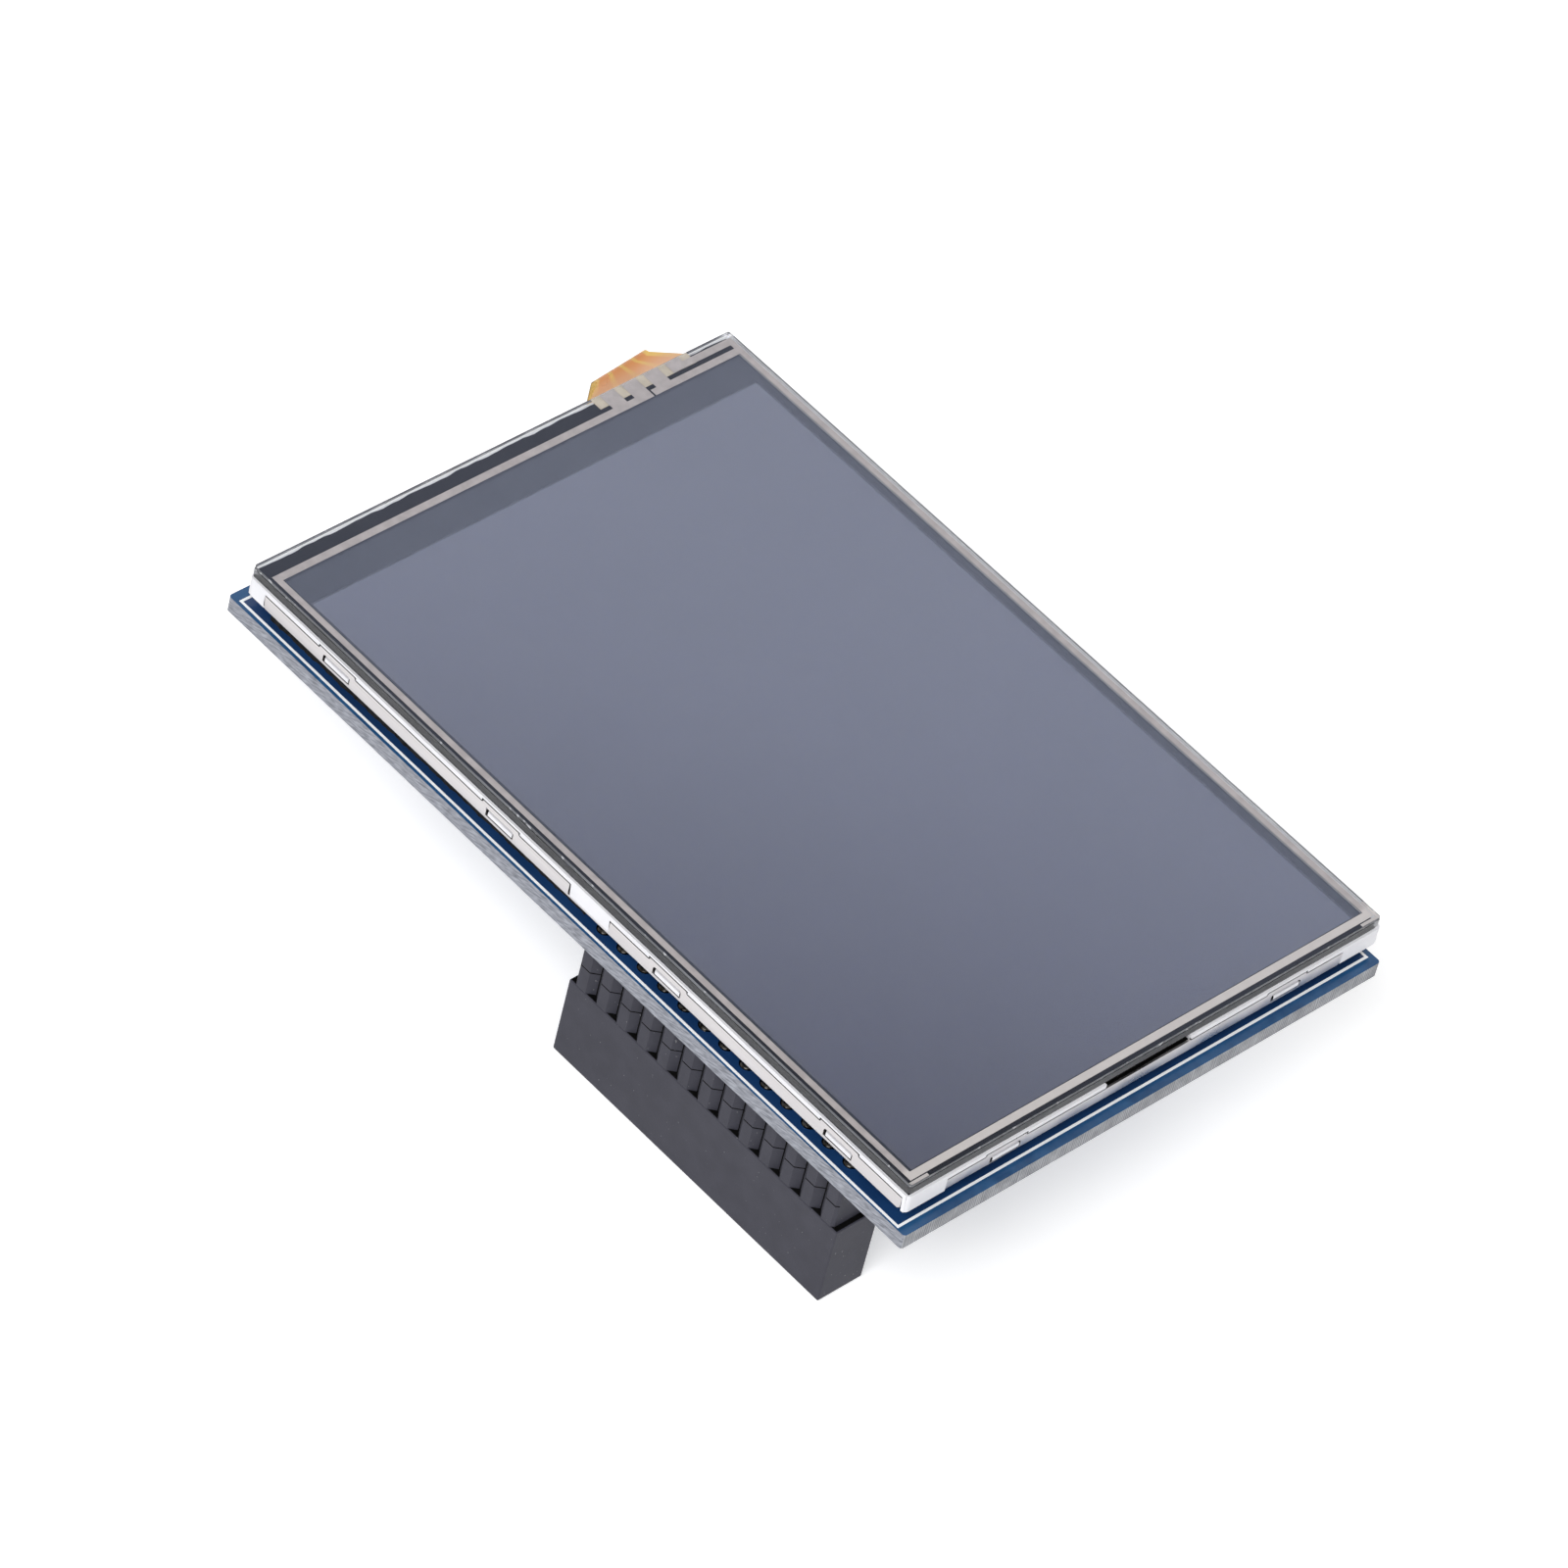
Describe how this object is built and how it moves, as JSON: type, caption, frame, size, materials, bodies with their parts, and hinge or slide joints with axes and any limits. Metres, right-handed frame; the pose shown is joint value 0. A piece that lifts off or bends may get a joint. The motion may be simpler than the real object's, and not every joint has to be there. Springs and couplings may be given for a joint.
{
  "type": "touchscreen display",
  "caption": "Colour screen module with a resistive touch panel, taped to a rectangular circuit board that plugs onto a double row of header pins.",
  "frame": {"origin": "centre of the pin socket's mating face", "axes": "+X along the board's long edge towards the end that carries the socket, +Y across the board away from the socket, +Z out of the screen"},
  "size_m": [0.0865, 0.056, 0.0194],
  "materials": {
    "solder_mask": "glossy blue solder mask",
    "socket_plastic": "moulded black",
    "contact_metal": "plated",
    "solder": "bright solder",
    "chip_plastic": "moulded black",
    "lead_metal": "tinned",
    "capacitor_ceramic": "fired ceramic",
    "resistor_coat": "black glaze",
    "foam": "foam tape",
    "shield_steel": "bright sheet",
    "frame_white": "moulded white",
    "white_film": "white film",
    "clear_film": "clear",
    "lamp_body": "cast resin",
    "black_tape": "black adhesive tape",
    "polarizer": "anti-glare film",
    "cell_glass": "dark coated glass",
    "chip_silicon": "bare silicon",
    "ribbon_film": "amber film",
    "panel_glass": "clear",
    "panel_adhesive": "clear adhesive",
    "panel_film": "clear film",
    "silver_paste": "printed paste",
    "finger_copper": "plated copper"
  },
  "bodies": {
    "root": {"circuit_board": "solder_mask", "socket_body": "socket_plastic", "spacer_strip_lower": "socket_plastic", "spacer_strip_upper": "socket_plastic", "socket_contacts": "contact_metal", "solder_joints": "solder", "touch_controller": "chip_plastic", "shift_register_a": "chip_plastic", "shift_register_b": "chip_plastic", "bit_counter": "chip_plastic", "hex_inverter": "chip_plastic", "lamp_transistor": "chip_plastic", "chip_leads": "lead_metal", "chip_end_caps": "lead_metal", "chip_capacitors": "capacitor_ceramic", "chip_resistors": "resistor_coat", "foam_tape": "foam", "back_shield": "shield_steel", "backlight_frame": "frame_white", "reflector_film": "white_film", "diffuser_film": "white_film", "light_guide": "clear_film", "prism_film_lower": "clear_film", "prism_film_upper": "clear_film", "lamps": "lamp_body", "rim_tape": "black_tape", "panel_gasket": "black_tape", "rear_polarizer": "polarizer", "front_polarizer": "polarizer", "tft_glass": "cell_glass", "colour_filter_glass": "cell_glass", "driver_chip": "chip_silicon", "screen_ribbon": "ribbon_film", "lamp_strip": "ribbon_film", "touch_tail": "ribbon_film", "touch_glass": "panel_glass", "touch_spacer": "panel_adhesive", "touch_film": "panel_film", "touch_conductors": "silver_paste", "tail_fingers": "finger_copper"}
  },
  "joints": []
}
